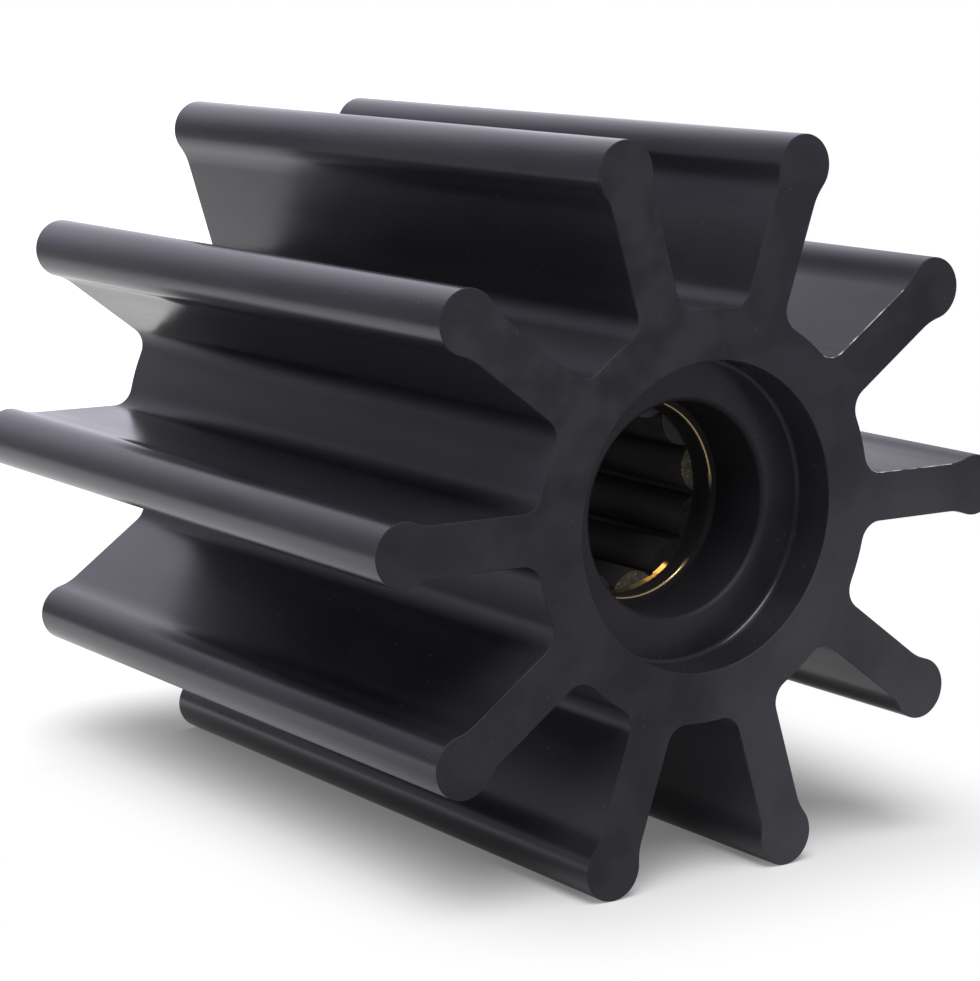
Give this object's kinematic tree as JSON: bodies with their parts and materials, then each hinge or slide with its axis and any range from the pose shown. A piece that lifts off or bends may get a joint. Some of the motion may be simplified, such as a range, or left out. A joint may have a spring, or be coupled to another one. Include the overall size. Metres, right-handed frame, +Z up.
{
  "type": "rubber pump impeller",
  "caption": "Flexible pump impeller: a moulded rubber hub with straight, bead-edged vanes around a splined brass insert for the drive shaft.",
  "frame": {"origin": "middle of the bore, half-way between the two end faces", "axes": "+Y along the bore's axis, away from the viewer; +Z up, as the impeller lies on the tips of its two lowest vanes; one vane points along +X"},
  "size_m": [0.0952, 0.0992, 0.091],
  "materials": {
    "rubber": "satin charcoal-black moulded rubber",
    "brass": "machined, slightly dulled"
  },
  "bodies": {
    "root": {"rubber_moulding": "rubber", "splined_insert": "brass"}
  },
  "joints": []
}
